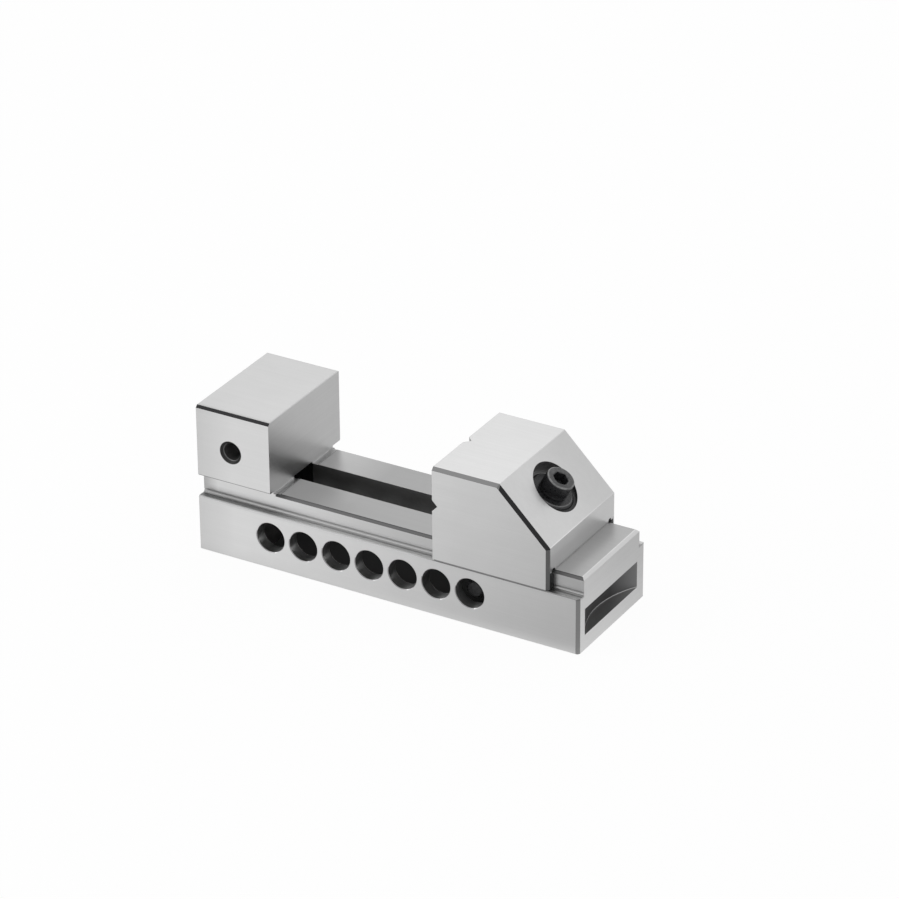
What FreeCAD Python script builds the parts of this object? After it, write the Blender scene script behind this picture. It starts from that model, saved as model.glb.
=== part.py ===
import FreeCAD, Part
import math
import os

from FreeCAD import Placement, Rotation, Vector

# Toolmaker's vise: a ground steel body with the fixed jaw in one piece, and a movable jaw
# that one inclined screw draws down on to the rail and towards the work.
# Millimetres. X runs from the fixed jaw to the open end, Y across the width, Z up.
# Lengths along X are worked out from the fixed jaw's outer end, and each finished piece
# is moved by half the body's length, so that the origin lies under the body's middle.

# Body
WIDTH = 73.0
LENGTH = 236.5
BASE_HEIGHT = 33.3
LEDGE_WIDTH = 5.5
RAIL_HEIGHT = 10.35
JAW_HEIGHT = 45.35
FIXED_JAW_LENGTH = 46.2
CLAMP_GROOVE_HEIGHT = 12.6
OPENING = 101.6

# Edges, and grooves that keep the corners clear for grinding
EDGE_CHAMFER = 1.8
FAR_EDGE_CHAMFER = 0.6
EDGE_BREAK = 0.5
RAIL_CHAMFER = 1.5
CORNER_RELIEF_RADIUS = 1.6
CORNER_RELIEF_DEPTH = 0.2
FOOT_RELIEF_IN_JAW = 1.4
FOOT_RELIEF_IN_RAIL = 2.4
FOOT_RELIEF_DEPTH = 0.3

# Holes, hollow and slot in the body
HOLE_DIAMETER = 17.5
HOLE_COUNT = 7
HOLE_PITCH = 20.8
HOLE_HEIGHT = 19.0
HOLE_CHAMFER = 0.4
SIDE_WALL = 7.25
CEILING_HEIGHT = 24.0
HOLLOW_END_MARGIN = 5.1
HOLLOW_REAR_WALL = 36.5
HOLLOW_CORNER_RADIUS = 6.0
SLOT_WIDTH = 19.0
SLOT_REAR_CLEARANCE = 3.0
END_RECESS_LOW = 8.9
END_RECESS_HIGH = 24.8
END_RECESS_DEPTH = 8.8
END_CUTTER_RADIUS = 54.5

# Tapped hole for a work stop in the side of the fixed jaw
STOP_HOLE_FROM_END = 21.5
STOP_HOLE_BELOW_TOP = 24.0
STOP_CORE_DIAMETER = 10.2
STOP_MOUTH_DIAMETER = 13.5
STOP_HOLE_DEPTH = 24.0
DRILL_POINT_ANGLE = 118.0

# Movable jaw
MOVABLE_TOP_LENGTH = 40.1
MOVABLE_LENGTH = 70.6
SLOPE_ANGLE = 45.0
SLIDE_CLEARANCE = 0.03
SKIRT_CLEARANCE = 0.3
CHANNEL_RELIEF_RADIUS = 1.6
CHANNEL_MOUTH_CHAMFER = 1.0
VEE_WIDTH = 6.6
VEE_BELOW_TOP = 22.8

# Screw: where its axis meets the slope, and its lean from the vertical
SCREW_BEYOND_TOP = 14.2
SCREW_LEAN = 30.0
HEAD_PROUD = 7.3
SCREW_DIAMETER = 10.0
SCREW_LENGTH = 50.0
THREAD_PITCH = 1.5
SCREW_TURNS = 2.5
HEAD_DIAMETER = 16.0
HEAD_HEIGHT = 10.0
HEAD_CHAMFER = 0.5
HEAD_FOOT_CHAMFER = 0.7
SOCKET_ACROSS_FLATS = 8.0
SOCKET_DEPTH = 5.5
SCREW_TIP_CHAMFER = 1.0

# Ball washer and its seat
BALL_RADIUS = 16.0
BALL_BELOW_HEAD_TOP = 2.0
BALL_CLEARANCE = 0.05
WASHER_DIAMETER = 25.0
WASHER_HOLE_DIAMETER = 10.6
WASHER_TOP_CHAMFER = 0.6
HEAD_SEAT_GAP = 0.02
COUNTERBORE_DIAMETER = 29.3
COUNTERBORE_BELOW_WASHER = 1.5
SCREW_PASSAGE_DIAMETER = 14.0

# Draw nut, cross pin, grub screw and release spring
NUT_DIAMETER = 18.0
NUT_BELOW_RAIL = 2.0
NUT_END_WALL = 4.0
NUT_CHAMFER = 1.0
NUT_PASSAGE_DIAMETER = 20.5
THREAD_CLEARANCE = 0.05
PIN_DIAMETER = 10.0
PIN_END_CLEARANCE = 1.25
PIN_CHAMFER = 1.0
PIN_FIT = 0.02
PIN_RISE_IN_NOTCH = 1.0
GRUB_DIAMETER = 5.0
GRUB_CHAMFER = 0.4
GRUB_SOCKET_ACROSS_FLATS = 2.5
GRUB_SOCKET_DEPTH = 2.0
GRUB_FIT = 0.02
SPRING_LENGTH = 16.0
SPRING_WIRE_WIDTH = 1.5
SPRING_WIRE_HEIGHT = 1.2
SPRING_DIAMETER = 16.0
SPRING_TURNS = 4.5
SPRING_SEAT_GAP = 0.05

# Widths, heights and stations that follow
RAIL_WIDTH = WIDTH - 2 * LEDGE_WIDTH
RAIL_TOP = BASE_HEIGHT + RAIL_HEIGHT
JAW_TOP = RAIL_TOP + JAW_HEIGHT
JAW_UNDERSIDE = BASE_HEIGHT + CLAMP_GROOVE_HEIGHT
MOVABLE_FRONT = FIXED_JAW_LENGTH + OPENING
MOVABLE_TOP_REAR = MOVABLE_FRONT + MOVABLE_TOP_LENGTH
MOVABLE_REAR = MOVABLE_FRONT + MOVABLE_LENGTH
SLOPE_DROP = (MOVABLE_LENGTH - MOVABLE_TOP_LENGTH) * math.tan(math.radians(SLOPE_ANGLE))
MOVABLE_SHOULDER = JAW_TOP - SLOPE_DROP

# The screw's own frame has its origin at the middle of the head's top face and Z out of the head
LEAN_SIN = math.sin(math.radians(SCREW_LEAN))
LEAN_COS = math.cos(math.radians(SCREW_LEAN))
SLOPE_POINT_X = MOVABLE_TOP_REAR + SCREW_BEYOND_TOP
SLOPE_POINT_Z = JAW_TOP - SCREW_BEYOND_TOP * math.tan(math.radians(SLOPE_ANGLE))
HEAD_TOP_X = SLOPE_POINT_X + HEAD_PROUD * LEAN_SIN
HEAD_TOP_Z = SLOPE_POINT_Z + HEAD_PROUD * LEAN_COS
SCREW_FRAME = Placement(Vector(HEAD_TOP_X, 0, HEAD_TOP_Z), Rotation(Vector(0, 1, 0), SCREW_LEAN))

# Depths along the screw, from the head's top face down
DRAW_TRAVEL = SCREW_TURNS * THREAD_PITCH
PIN_RAISED_DEPTH = (HEAD_TOP_Z - HOLE_HEIGHT - PIN_RISE_IN_NOTCH) / LEAN_COS
PIN_DEPTH = PIN_RAISED_DEPTH + DRAW_TRAVEL
NUT_TOP_DEPTH = (HEAD_TOP_Z - RAIL_TOP) / LEAN_COS + NUT_BELOW_RAIL
NUT_END_DEPTH = PIN_DEPTH + PIN_DIAMETER / 2 + NUT_END_WALL
SHOULDER_DEPTH = NUT_TOP_DEPTH - SPRING_LENGTH
WASHER_TOP_DEPTH = HEAD_HEIGHT + HEAD_SEAT_GAP
COUNTERBORE_DEPTH = WASHER_TOP_DEPTH + COUNTERBORE_BELOW_WASHER

# The last notch stands over the raised pin, and the others follow towards the fixed jaw
LAST_HOLE_X = HEAD_TOP_X - PIN_RAISED_DEPTH * LEAN_SIN
FIRST_HOLE_X = LAST_HOLE_X - (HOLE_COUNT - 1) * HOLE_PITCH
HOLLOW_FRONT = FIRST_HOLE_X - HOLE_DIAMETER / 2 - HOLLOW_END_MARGIN
HOLLOW_REAR = LENGTH - HOLLOW_REAR_WALL
SLOT_REAR = HEAD_TOP_X - NUT_TOP_DEPTH * LEAN_SIN + NUT_DIAMETER / 2 / LEAN_COS + SLOT_REAR_CLEARANCE

# How far a cutting tool's solid runs past the metal
OVERRUN = 5.0
# How near two coordinates are to count as the same
NEAR = 0.001


def block(x0, x1, half_width, z0, z1):
    """A block centred across the width."""
    return Part.makeBox(x1 - x0, 2 * half_width, z1 - z0, Vector(x0, -half_width, z0))


def rod(diameter, start, end):
    """A round bar from one point to another."""
    run = end - start
    return Part.makeCylinder(diameter / 2, run.Length, start, run)


def prism(points, run):
    """A closed outline carried along a straight run."""
    return Part.Face(Part.makePolygon(points + points[:1])).extrude(run)


def section_along_x(half_outline, x0, x1):
    """A section that is given by its +Y half, from the bottom up, and carried along X."""
    right = [Vector(x0, y, z) for y, z in half_outline]
    left = [Vector(x0, -y, z) for y, z in reversed(half_outline)]
    return prism(right + left, Vector(x1 - x0, 0, 0))


def turned(outline):
    """A body turned about the screw's axis from radius and depth below the head's top."""
    points = [Vector(radius, 0, -depth) for radius, depth in outline]
    face = Part.Face(Part.makePolygon(points + points[:1]))
    return face.revolve(Vector(0, 0, 0), Vector(0, 0, 1), 360)


def bore(diameter, start_depth, end_depth):
    """A round bar on the screw's axis between two depths."""
    return Part.makeCylinder(diameter / 2, end_depth - start_depth, Vector(0, 0, -end_depth))


def hexagon_bar(across_flats, length, base):
    """A hexagon bar that stands on a point of the screw's axis."""
    corner_radius = across_flats / 2 / math.cos(math.radians(30))
    angles = [math.radians(60 * step) for step in range(6)]
    points = [base + Vector(corner_radius * math.cos(a), corner_radius * math.sin(a), 0) for a in angles]
    return prism(points, Vector(0, 0, length))


def in_place(shape):
    """Moves a shape from the screw's frame to the vise."""
    shape.Placement = SCREW_FRAME.multiply(shape.Placement)
    return shape


def chamfered(shape, size, wanted):
    """Chamfers the edges whose ends both pass the test."""
    edges = [edge for edge in shape.Edges if all(wanted(vertex.Point) for vertex in edge.Vertexes)]
    return shape.makeChamfer(size, edges)


def near(value, target):
    return abs(value - target) < NEAR


def base_and_rail():
    half_width = WIDTH / 2
    half_rail = RAIL_WIDTH / 2
    half_outline = [
        (half_width - EDGE_BREAK, 0),
        (half_width, EDGE_BREAK),
        (half_width, BASE_HEIGHT - EDGE_BREAK),
        (half_width - EDGE_BREAK, BASE_HEIGHT),
        (half_rail, BASE_HEIGHT),
        (half_rail, RAIL_TOP - RAIL_CHAMFER),
        (half_rail - RAIL_CHAMFER, RAIL_TOP),
    ]
    solid = section_along_x(half_outline, 0, LENGTH)
    solid = chamfered(solid, EDGE_CHAMFER, lambda p: near(p.x, LENGTH) and near(p.y, -half_width))
    solid = chamfered(solid, FAR_EDGE_CHAMFER, lambda p: near(p.x, LENGTH) and near(p.y, half_width))
    return chamfered(solid, RAIL_CHAMFER, lambda p: near(p.x, LENGTH) and near(p.z, RAIL_TOP))


def fixed_jaw():
    half_width = WIDTH / 2
    half_rail = RAIL_WIDTH / 2
    half_outline = [
        (half_rail, BASE_HEIGHT),
        (half_rail, JAW_UNDERSIDE),
        (half_width - EDGE_BREAK, JAW_UNDERSIDE),
        (half_width, JAW_UNDERSIDE + EDGE_BREAK),
        (half_width, JAW_TOP),
    ]
    solid = section_along_x(half_outline, 0, FIXED_JAW_LENGTH)
    solid = chamfered(solid, EDGE_CHAMFER, lambda p: near(p.z, JAW_TOP) and near(p.y, -half_width))
    solid = chamfered(solid, FAR_EDGE_CHAMFER, lambda p: near(p.z, JAW_TOP) and near(p.y, half_width))
    return chamfered(solid, EDGE_BREAK, lambda p: near(p.z, JAW_TOP) and abs(p.y) < half_width)


def corner_fill():
    """Metal in the corners between rail and ledges, which the round reliefs then hollow."""
    reach = CORNER_RELIEF_RADIUS - CORNER_RELIEF_DEPTH
    return block(0, LENGTH, RAIL_WIDTH / 2 + reach, BASE_HEIGHT, BASE_HEIGHT + reach)


def corner_reliefs():
    """A round relief along the foot of each side of the rail."""
    reach = CORNER_RELIEF_RADIUS - CORNER_RELIEF_DEPTH
    cuts = []
    for side in (-1, 1):
        start = Vector(-OVERRUN, side * (RAIL_WIDTH / 2 + reach), BASE_HEIGHT + reach)
        cuts.append(rod(2 * CORNER_RELIEF_RADIUS, start, start + Vector(LENGTH + 2 * OVERRUN, 0, 0)))
    return cuts


def cross_holes():
    """The holes through both side walls, which also cut the half-round notches over the hollow."""
    cuts = []
    for index in range(HOLE_COUNT):
        x = FIRST_HOLE_X + index * HOLE_PITCH
        near_mouth = Vector(x, -WIDTH / 2, HOLE_HEIGHT)
        far_mouth = Vector(x, WIDTH / 2, HOLE_HEIGHT)
        cuts.append(rod(HOLE_DIAMETER, near_mouth, far_mouth))
        for mouth, inward in ((near_mouth, Vector(0, 1, 0)), (far_mouth, Vector(0, -1, 0))):
            radius = HOLE_DIAMETER / 2
            cuts.append(Part.makeCone(radius + HOLE_CHAMFER, radius, HOLE_CHAMFER, mouth, inward))
    return cuts


def hollow():
    """The hollow under the rail, open below, in which the cross pin travels."""
    solid = block(HOLLOW_FRONT, HOLLOW_REAR, WIDTH / 2 - SIDE_WALL, -OVERRUN, CEILING_HEIGHT)
    upright = [edge for edge in solid.Edges if near(edge.BoundBox.XLength + edge.BoundBox.YLength, 0)]
    return solid.makeFillet(HOLLOW_CORNER_RADIUS, upright)


def slot():
    """The slot through the rail for the draw nut, from under the fixed jaw to a round end."""
    radius = SLOT_WIDTH / 2
    front = FIXED_JAW_LENGTH
    rear = SLOT_REAR - radius
    bottom = CEILING_HEIGHT - OVERRUN
    height = JAW_UNDERSIDE - bottom
    return [
        block(front, rear, radius, bottom, JAW_UNDERSIDE),
        Part.makeCylinder(radius, height, Vector(front, 0, bottom)),
        Part.makeCylinder(radius, height, Vector(rear, 0, bottom)),
    ]


def end_recess():
    """The blind recess that a disc cutter leaves in the open end."""
    centre = Vector(LENGTH + END_CUTTER_RADIUS - END_RECESS_DEPTH, 0, END_RECESS_LOW)
    return Part.makeCylinder(END_CUTTER_RADIUS, END_RECESS_HIGH - END_RECESS_LOW, centre)


def foot_relief():
    """The relief across the rail at the foot of the fixed jaw's face."""
    x0 = FIXED_JAW_LENGTH - FOOT_RELIEF_IN_JAW
    x1 = FIXED_JAW_LENGTH + FOOT_RELIEF_IN_RAIL
    return block(x0, x1, WIDTH / 2, RAIL_TOP - FOOT_RELIEF_DEPTH, JAW_UNDERSIDE)


def stop_hole():
    """The tapped hole for a work stop, at its core diameter, with a countersunk mouth."""
    radius = STOP_CORE_DIAMETER / 2
    mouth = Vector(STOP_HOLE_FROM_END, -WIDTH / 2, JAW_TOP - STOP_HOLE_BELOW_TOP)
    inward = Vector(0, 1, 0)
    bottom = mouth + inward * STOP_HOLE_DEPTH
    point_depth = radius / math.tan(math.radians(DRILL_POINT_ANGLE / 2))
    mouth_depth = (STOP_MOUTH_DIAMETER - STOP_CORE_DIAMETER) / 2
    return [
        rod(STOP_CORE_DIAMETER, mouth, bottom),
        Part.makeCone(radius, 0, point_depth, bottom, inward),
        Part.makeCone(STOP_MOUTH_DIAMETER / 2, radius, mouth_depth, mouth, inward),
    ]


def make_body():
    solid = base_and_rail().fuse([fixed_jaw(), corner_fill()]).removeSplitter()
    solid = solid.cut(corner_reliefs())
    solid = solid.cut([foot_relief(), hollow(), end_recess()])
    solid = solid.cut(slot())
    solid = solid.cut(cross_holes())
    return solid.cut(stop_hole())


def jaw_block():
    """The movable jaw's outer form, with its outer edges chamfered."""
    half_width = WIDTH / 2
    bottom = BASE_HEIGHT + SKIRT_CLEARANCE
    outline = [
        (MOVABLE_FRONT, bottom),
        (MOVABLE_REAR, bottom),
        (MOVABLE_REAR, MOVABLE_SHOULDER),
        (MOVABLE_TOP_REAR, JAW_TOP),
        (MOVABLE_FRONT, JAW_TOP),
    ]
    points = [Vector(x, -half_width, z) for x, z in outline]
    solid = prism(points, Vector(0, WIDTH, 0))

    def rim(shape, y):
        """The edges of one side, apart from the front and bottom ones."""
        edges = []
        for edge in shape.Edges:
            ends = [vertex.Point for vertex in edge.Vertexes]
            on_side = all(near(p.y, y) for p in ends)
            front = all(near(p.x, MOVABLE_FRONT) for p in ends)
            low = all(near(p.z, bottom) for p in ends)
            if on_side and not front and not low:
                edges.append(edge)
        return edges

    solid = solid.makeChamfer(EDGE_CHAMFER, rim(solid, -half_width))
    return solid.makeChamfer(FAR_EDGE_CHAMFER, rim(solid, half_width))


def channel():
    """The channel that rides on the rail, with round reliefs in its upper corners and a wider mouth."""
    x0 = MOVABLE_FRONT - OVERRUN
    x1 = MOVABLE_REAR + OVERRUN
    half_channel = RAIL_WIDTH / 2 + SLIDE_CLEARANCE
    half_mouth = half_channel + CHANNEL_MOUTH_CHAMFER
    top = RAIL_TOP + SLIDE_CLEARANCE
    bottom = BASE_HEIGHT + SKIRT_CLEARANCE
    half_outline = [
        (half_mouth, bottom - OVERRUN),
        (half_mouth, bottom),
        (half_channel, bottom + CHANNEL_MOUTH_CHAMFER),
        (half_channel, top),
    ]
    cuts = [section_along_x(half_outline, x0, x1)]
    for side in (-1, 1):
        corner = Vector(x0, side * half_channel, top)
        cuts.append(rod(2 * CHANNEL_RELIEF_RADIUS, corner, corner + Vector(x1 - x0, 0, 0)))
    return cuts


def work_vees():
    """The two 90 degree grooves across and up the jaw's face, for round work."""
    half = VEE_WIDTH / 2
    x = MOVABLE_FRONT
    z = JAW_TOP - VEE_BELOW_TOP
    level = [Vector(x, -WIDTH, z - half), Vector(x + half, -WIDTH, z), Vector(x, -WIDTH, z + half)]
    upright = [Vector(x, -half, 0), Vector(x + half, 0, 0), Vector(x, half, 0)]
    return [prism(level, Vector(0, 2 * WIDTH, 0)), prism(upright, Vector(0, 0, 2 * JAW_TOP))]


def screw_passage():
    """The counterbore, ball seat and passages along the screw's axis."""
    ball = Part.makeSphere(BALL_RADIUS + BALL_CLEARANCE, Vector(0, 0, -BALL_BELOW_HEAD_TOP))
    ball = ball.common(bore(2 * BALL_RADIUS, COUNTERBORE_DEPTH, 2 * BALL_RADIUS))
    through = 2 * NUT_TOP_DEPTH
    return [
        in_place(bore(COUNTERBORE_DIAMETER, -COUNTERBORE_DIAMETER, COUNTERBORE_DEPTH)),
        in_place(ball),
        in_place(bore(SCREW_PASSAGE_DIAMETER, COUNTERBORE_DEPTH, through)),
        in_place(bore(NUT_PASSAGE_DIAMETER, SHOULDER_DEPTH, through)),
    ]


def make_movable_jaw():
    solid = jaw_block().cut(channel())
    solid = solid.cut(work_vees())
    return solid.cut(screw_passage())


def make_clamp_screw():
    head = HEAD_DIAMETER / 2
    shank = SCREW_DIAMETER / 2
    tip = HEAD_HEIGHT + SCREW_LENGTH
    solid = turned([
        (0, 0),
        (head - HEAD_CHAMFER, 0),
        (head, HEAD_CHAMFER),
        (head, HEAD_HEIGHT - HEAD_FOOT_CHAMFER),
        (head - HEAD_FOOT_CHAMFER, HEAD_HEIGHT),
        (shank, HEAD_HEIGHT),
        (shank, tip - SCREW_TIP_CHAMFER),
        (shank - SCREW_TIP_CHAMFER, tip),
        (0, tip),
    ])
    socket = hexagon_bar(SOCKET_ACROSS_FLATS, SOCKET_DEPTH, Vector(0, 0, -SOCKET_DEPTH))
    return in_place(solid.cut(socket))


def make_ball_washer():
    outer = WASHER_DIAMETER / 2
    hole = WASHER_HOLE_DIAMETER / 2
    deep = BALL_BELOW_HEAD_TOP + BALL_RADIUS
    blank = turned([
        (hole, WASHER_TOP_DEPTH),
        (outer - WASHER_TOP_CHAMFER, WASHER_TOP_DEPTH),
        (outer, WASHER_TOP_DEPTH + WASHER_TOP_CHAMFER),
        (outer, deep),
        (hole, deep),
    ])
    ball = Part.makeSphere(BALL_RADIUS, Vector(0, 0, -BALL_BELOW_HEAD_TOP))
    return in_place(blank.common(ball))


def make_draw_nut():
    outer = NUT_DIAMETER / 2
    solid = turned([
        (0, NUT_TOP_DEPTH),
        (outer - NUT_CHAMFER, NUT_TOP_DEPTH),
        (outer, NUT_TOP_DEPTH + NUT_CHAMFER),
        (outer, NUT_END_DEPTH - NUT_CHAMFER),
        (outer - NUT_CHAMFER, NUT_END_DEPTH),
        (0, NUT_END_DEPTH),
    ])
    eye_half_length = Vector(0, WIDTH / 2, 0)
    eye_centre = Vector(0, 0, -PIN_DEPTH)
    return in_place(solid.cut([
        bore(SCREW_DIAMETER + 2 * THREAD_CLEARANCE, NUT_TOP_DEPTH, PIN_DEPTH),
        rod(PIN_DIAMETER + 2 * PIN_FIT, eye_centre - eye_half_length, eye_centre + eye_half_length),
        bore(GRUB_DIAMETER + 2 * GRUB_FIT, PIN_DEPTH, NUT_END_DEPTH),
    ]))


def make_cross_pin():
    half_length = WIDTH / 2 - SIDE_WALL - PIN_END_CLEARANCE
    centre = Vector(0, 0, -PIN_DEPTH)
    bar = rod(PIN_DIAMETER, centre - Vector(0, half_length, 0), centre + Vector(0, half_length, 0))
    ends = [edge for edge in bar.Edges if near(edge.BoundBox.YLength, 0)]
    return in_place(bar.makeChamfer(PIN_CHAMFER, ends))


def make_grub_screw():
    """The grub screw that holds the cross pin in the nut, flush with the nut's end."""
    radius = GRUB_DIAMETER / 2
    top = PIN_DEPTH + PIN_DIAMETER / 2 + GRUB_FIT
    solid = turned([
        (0, top),
        (radius - GRUB_CHAMFER, top),
        (radius, top + GRUB_CHAMFER),
        (radius, NUT_END_DEPTH - GRUB_CHAMFER),
        (radius - GRUB_CHAMFER, NUT_END_DEPTH),
        (0, NUT_END_DEPTH),
    ])
    socket = hexagon_bar(GRUB_SOCKET_ACROSS_FLATS, GRUB_SOCKET_DEPTH, Vector(0, 0, -NUT_END_DEPTH))
    return in_place(solid.cut(socket))


def make_release_spring():
    """The flat wire coil round the screw that pushes the nut and pin down clear of the notches."""
    outer = SPRING_DIAMETER / 2
    inner = outer - SPRING_WIRE_WIDTH
    low = -SPRING_WIRE_HEIGHT / 2
    high = SPRING_WIRE_HEIGHT / 2
    height = SPRING_LENGTH - SPRING_WIRE_HEIGHT - 2 * SPRING_SEAT_GAP
    start = NUT_TOP_DEPTH - SPRING_SEAT_GAP - SPRING_WIRE_HEIGHT / 2
    coil = Part.Wire(Part.makeHelix(height / SPRING_TURNS, height, (outer + inner) / 2).Edges)
    corners = [Vector(x, 0, z) for x, z in ((inner, low), (outer, low), (outer, high), (inner, high))]
    solid = coil.makePipeShell([Part.makePolygon(corners + corners[:1])], True, True)
    solid.translate(Vector(0, 0, -start))
    return in_place(solid)


PIECES = {
    "body": make_body,
    "movable_jaw": make_movable_jaw,
    "clamp_screw": make_clamp_screw,
    "ball_washer": make_ball_washer,
    "draw_nut": make_draw_nut,
    "cross_pin": make_cross_pin,
    "grub_screw": make_grub_screw,
    "release_spring": make_release_spring,
}


def main():
    os.makedirs("parts", exist_ok=True)
    for name, make in PIECES.items():
        shape = make()
        shape.translate(Vector(-LENGTH / 2, 0, 0))
        shape.exportStep("parts/" + name + ".step")
        print(name, len(shape.Solids), "solid,", round(shape.Volume), "mm3, valid", shape.isValid())


main()
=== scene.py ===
import math

import bmesh
import bpy
from mathutils import Matrix, Vector


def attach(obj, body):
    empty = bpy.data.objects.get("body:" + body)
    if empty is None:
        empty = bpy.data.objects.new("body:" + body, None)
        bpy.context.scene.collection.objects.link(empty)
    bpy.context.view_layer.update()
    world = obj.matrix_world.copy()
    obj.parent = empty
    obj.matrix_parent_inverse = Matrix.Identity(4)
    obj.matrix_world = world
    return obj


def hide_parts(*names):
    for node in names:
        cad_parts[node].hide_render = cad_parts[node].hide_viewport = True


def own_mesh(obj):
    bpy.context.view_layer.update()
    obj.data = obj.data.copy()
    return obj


# Toolmaker's vise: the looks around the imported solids.
# Metres. X runs from the fixed jaw to the open end, Y across the width, Z up, and the origin
# lies under the middle of the body.

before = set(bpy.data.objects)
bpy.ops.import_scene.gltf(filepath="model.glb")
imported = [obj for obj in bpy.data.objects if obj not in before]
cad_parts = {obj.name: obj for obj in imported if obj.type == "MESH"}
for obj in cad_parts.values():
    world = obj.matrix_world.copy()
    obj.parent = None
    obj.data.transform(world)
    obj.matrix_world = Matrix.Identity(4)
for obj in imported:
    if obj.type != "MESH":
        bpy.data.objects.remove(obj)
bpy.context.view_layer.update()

# Sizes repeated from the solids
WIDTH = 0.073
LENGTH = 0.2365
BASE_HEIGHT = 0.0333
RAIL_TOP = 0.04365
RAIL_HALF_WIDTH = 0.031
JAW_TOP = 0.089
JAW_UNDERSIDE = 0.0459
FIXED_JAW_LENGTH = 0.0462
STOP_HOLE_INSET = 0.0215
STOP_HOLE_DROP = 0.024
HALF_WIDTH = WIDTH / 2
FIXED_JAW_FACE = -LENGTH / 2 + FIXED_JAW_LENGTH
STOP_HOLE_X = -LENGTH / 2 + STOP_HOLE_INSET
STOP_HOLE_Z = JAW_TOP - STOP_HOLE_DROP

# The screw's axis, from the middle of the head's top face
SCREW_LEAN = math.radians(30)
HEAD_TOP = Vector((0.0875, 0, 0.081122))
SCREW_AXIS = Vector((math.sin(SCREW_LEAN), 0, math.cos(SCREW_LEAN)))

# Sockets of the mix node for each kind: the two values and the result
MIX_SOCKETS = {"FLOAT": (2, 3, 0), "VECTOR": (4, 5, 1), "RGBA": (6, 7, 2)}
FLOAT = "NodeSocketFloat"
VECTOR = "NodeSocketVector"


def add_node(tree, kind, inputs=None, **settings):
    """Adds a node, sets its options, and gives its inputs a value or a link."""
    node = tree.nodes.new(kind)
    for name, value in settings.items():
        setattr(node, name, value)
    for name, value in (inputs or {}).items():
        if isinstance(value, bpy.types.NodeSocket):
            tree.links.new(value, node.inputs[name])
        else:
            node.inputs[name].default_value = value
    return node


def calculate(tree, operation, first, second=0.0, clamp=False):
    node = add_node(tree, "ShaderNodeMath", {0: first, 1: second}, operation=operation, use_clamp=clamp)
    return node.outputs[0]


def vector_calculate(tree, operation, first, second=(0, 0, 0), output="Vector"):
    node = add_node(tree, "ShaderNodeVectorMath", {0: first, 1: second}, operation=operation)
    return node.outputs[output]


def mix(tree, kind, factor, first, second):
    low, high, result = MIX_SOCKETS[kind]
    inputs = {0: factor, low: first, high: second}
    return add_node(tree, "ShaderNodeMix", inputs, data_type=kind).outputs[result]


def remap(tree, value, low, high, to_low=0.0, to_high=1.0):
    inputs = {"Value": value, "From Min": low, "From Max": high, "To Min": to_low, "To Max": to_high}
    return add_node(tree, "ShaderNodeMapRange", inputs).outputs["Result"]


def split(tree, vector):
    """The three shares of a vector, named X, Y and Z."""
    return add_node(tree, "ShaderNodeSeparateXYZ", {0: vector}).outputs


def new_group(name, inputs, outputs):
    """A node group with named inputs, given with their defaults, and named outputs, which are numbers."""
    group = bpy.data.node_groups.new(name, "ShaderNodeTree")
    for socket_name, kind, default in inputs:
        socket = group.interface.new_socket(socket_name, in_out="INPUT", socket_type=kind)
        if default is not None:
            socket.default_value = default
    for socket_name in outputs:
        group.interface.new_socket(socket_name, in_out="OUTPUT", socket_type=FLOAT)
    return group, group.nodes.new("NodeGroupInput").outputs, group.nodes.new("NodeGroupOutput").inputs


def place_group(tree, group, inputs):
    return add_node(tree, "ShaderNodeGroup", inputs, node_tree=group)


# How softly a place's border fades out, unless it says otherwise
BORDER = 0.0002
FINE_BORDER = 0.0001


def make_box_mask():
    """A mask of one inside a box, with a soft border."""
    sockets = [
        ("Place", VECTOR, None),
        ("Centre", VECTOR, (0, 0, 0)),
        ("Half Size", VECTOR, (1, 1, 1)),
        ("Border", FLOAT, BORDER),
    ]
    group, given, result = new_group("box_mask", sockets, ["Mask"])
    away = vector_calculate(group, "SUBTRACT", given["Place"], given["Centre"])
    away = vector_calculate(group, "ABSOLUTE", away)
    inside = split(group, vector_calculate(group, "SUBTRACT", given["Half Size"], away))
    least = calculate(group, "MINIMUM", inside["X"], inside["Y"])
    least = calculate(group, "MINIMUM", least, inside["Z"])
    mask = calculate(group, "DIVIDE", least, given["Border"], clamp=True)
    group.links.new(mask, result["Mask"])
    return group


def make_rod_mask():
    """A mask of one within a radius of a line, and within a length to both sides of a point on it."""
    sockets = [
        ("Place", VECTOR, None),
        ("Point", VECTOR, (0, 0, 0)),
        ("Axis", VECTOR, (0, 0, 1)),
        ("Radius", FLOAT, 0.005),
        ("Length", FLOAT, 1.0),
        ("Border", FLOAT, BORDER),
    ]
    group, given, result = new_group("rod_mask", sockets, ["Mask"])
    away = vector_calculate(group, "SUBTRACT", given["Place"], given["Point"])
    across = vector_calculate(group, "CROSS_PRODUCT", away, given["Axis"])
    distance = vector_calculate(group, "LENGTH", across, output="Value")
    along = vector_calculate(group, "DOT_PRODUCT", away, given["Axis"], "Value")
    along = calculate(group, "ABSOLUTE", along)
    inside = calculate(group, "SUBTRACT", given["Radius"], distance)
    inside = calculate(group, "MINIMUM", inside, calculate(group, "SUBTRACT", given["Length"], along))
    mask = calculate(group, "DIVIDE", inside, given["Border"], clamp=True)
    group.links.new(mask, result["Mask"])
    return group


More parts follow.
